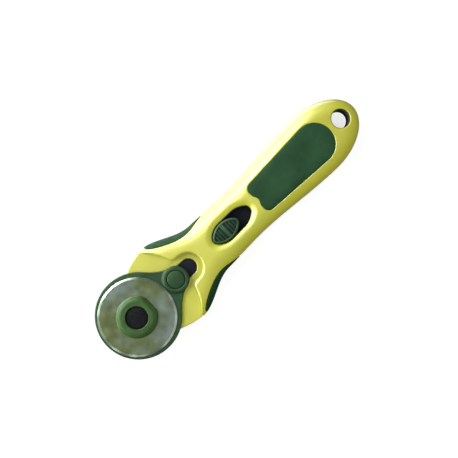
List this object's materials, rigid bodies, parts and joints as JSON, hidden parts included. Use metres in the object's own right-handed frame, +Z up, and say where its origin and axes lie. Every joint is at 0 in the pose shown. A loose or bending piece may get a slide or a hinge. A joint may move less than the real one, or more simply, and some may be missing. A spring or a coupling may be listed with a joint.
{
  "type": "rotary cutter",
  "caption": "Rotary fabric cutter: a round blade clamped at the head of a two-shell plastic handle, with a thumb-slid guard, soft inlays and a hanging hole.",
  "frame": {"origin": "on the blade's axis, at the underside of the axle nut's knob, which is also the height of the surface the cutter lies on", "axes": "+X along the handle from the blade to the hanging hole, +Y across the handle to the side on the left of someone who looks down at the blade side from the tail end, +Z up towards the blade side"},
  "size_m": [0.1943, 0.052, 0.0216],
  "materials": {
    "yellow_plastic": "glossy moulded",
    "soft_grip": "matt soft-touch",
    "green_plastic": "satin moulded",
    "black_plastic": "satin moulded",
    "blade_steel": "ground, with a brighter bevelled edge",
    "spring_steel": "rolled strip",
    "black_steel": "black oxide",
    "brass": "machined",
    "screw_steel": "zinc plated"
  },
  "bodies": {
    "handle": {"back_shell": "yellow_plastic", "front_shell": "yellow_plastic", "front_pad": "soft_grip", "back_pad": "soft_grip", "left_finger_grip": "soft_grip", "right_finger_grip": "soft_grip", "blade_flange": "green_plastic", "axle_bolt": "black_steel", "detent_spring": "spring_steel", "spring_screw": "screw_steel", "body_screw_1": "screw_steel", "body_screw_2": "screw_steel", "body_screw_3": "screw_steel", "body_screw_4": "screw_steel"},
    "guard": {"blade_guard": "green_plastic", "guard_pin": "green_plastic", "slide_link": "black_plastic", "slider_button": "green_plastic"},
    "blade": {"blade": "blade_steel"},
    "washer": {"wave_washer": "spring_steel"},
    "nut": {"nut_knob": "green_plastic", "nut_insert": "brass"}
  },
  "joints": [
    {"name": "guard_slide", "type": "slide", "parent": "handle", "child": "guard", "axis": [1, 0, 0], "range_m": [0, 0.009]},
    {"name": "blade_spin", "type": "hinge", "parent": "handle", "child": "blade", "pos_m": [0, 0, 0.01535], "axis": [0, 0, 1], "continuous": true},
    {"name": "washer_drop", "type": "slide", "parent": "handle", "child": "washer", "axis": [0, 0, -1], "range_m": [0, 0.0042]},
    {"name": "nut_turn", "type": "hinge", "parent": "washer", "child": "nut", "pos_m": [0, 0, 0.004], "axis": [0, 0, 1], "range_deg": [0, 1440]}
  ],
  "couplings": [
    {"joint": "washer_drop", "follows": "nut_turn", "m_per_rad": 0.00015915}
  ]
}
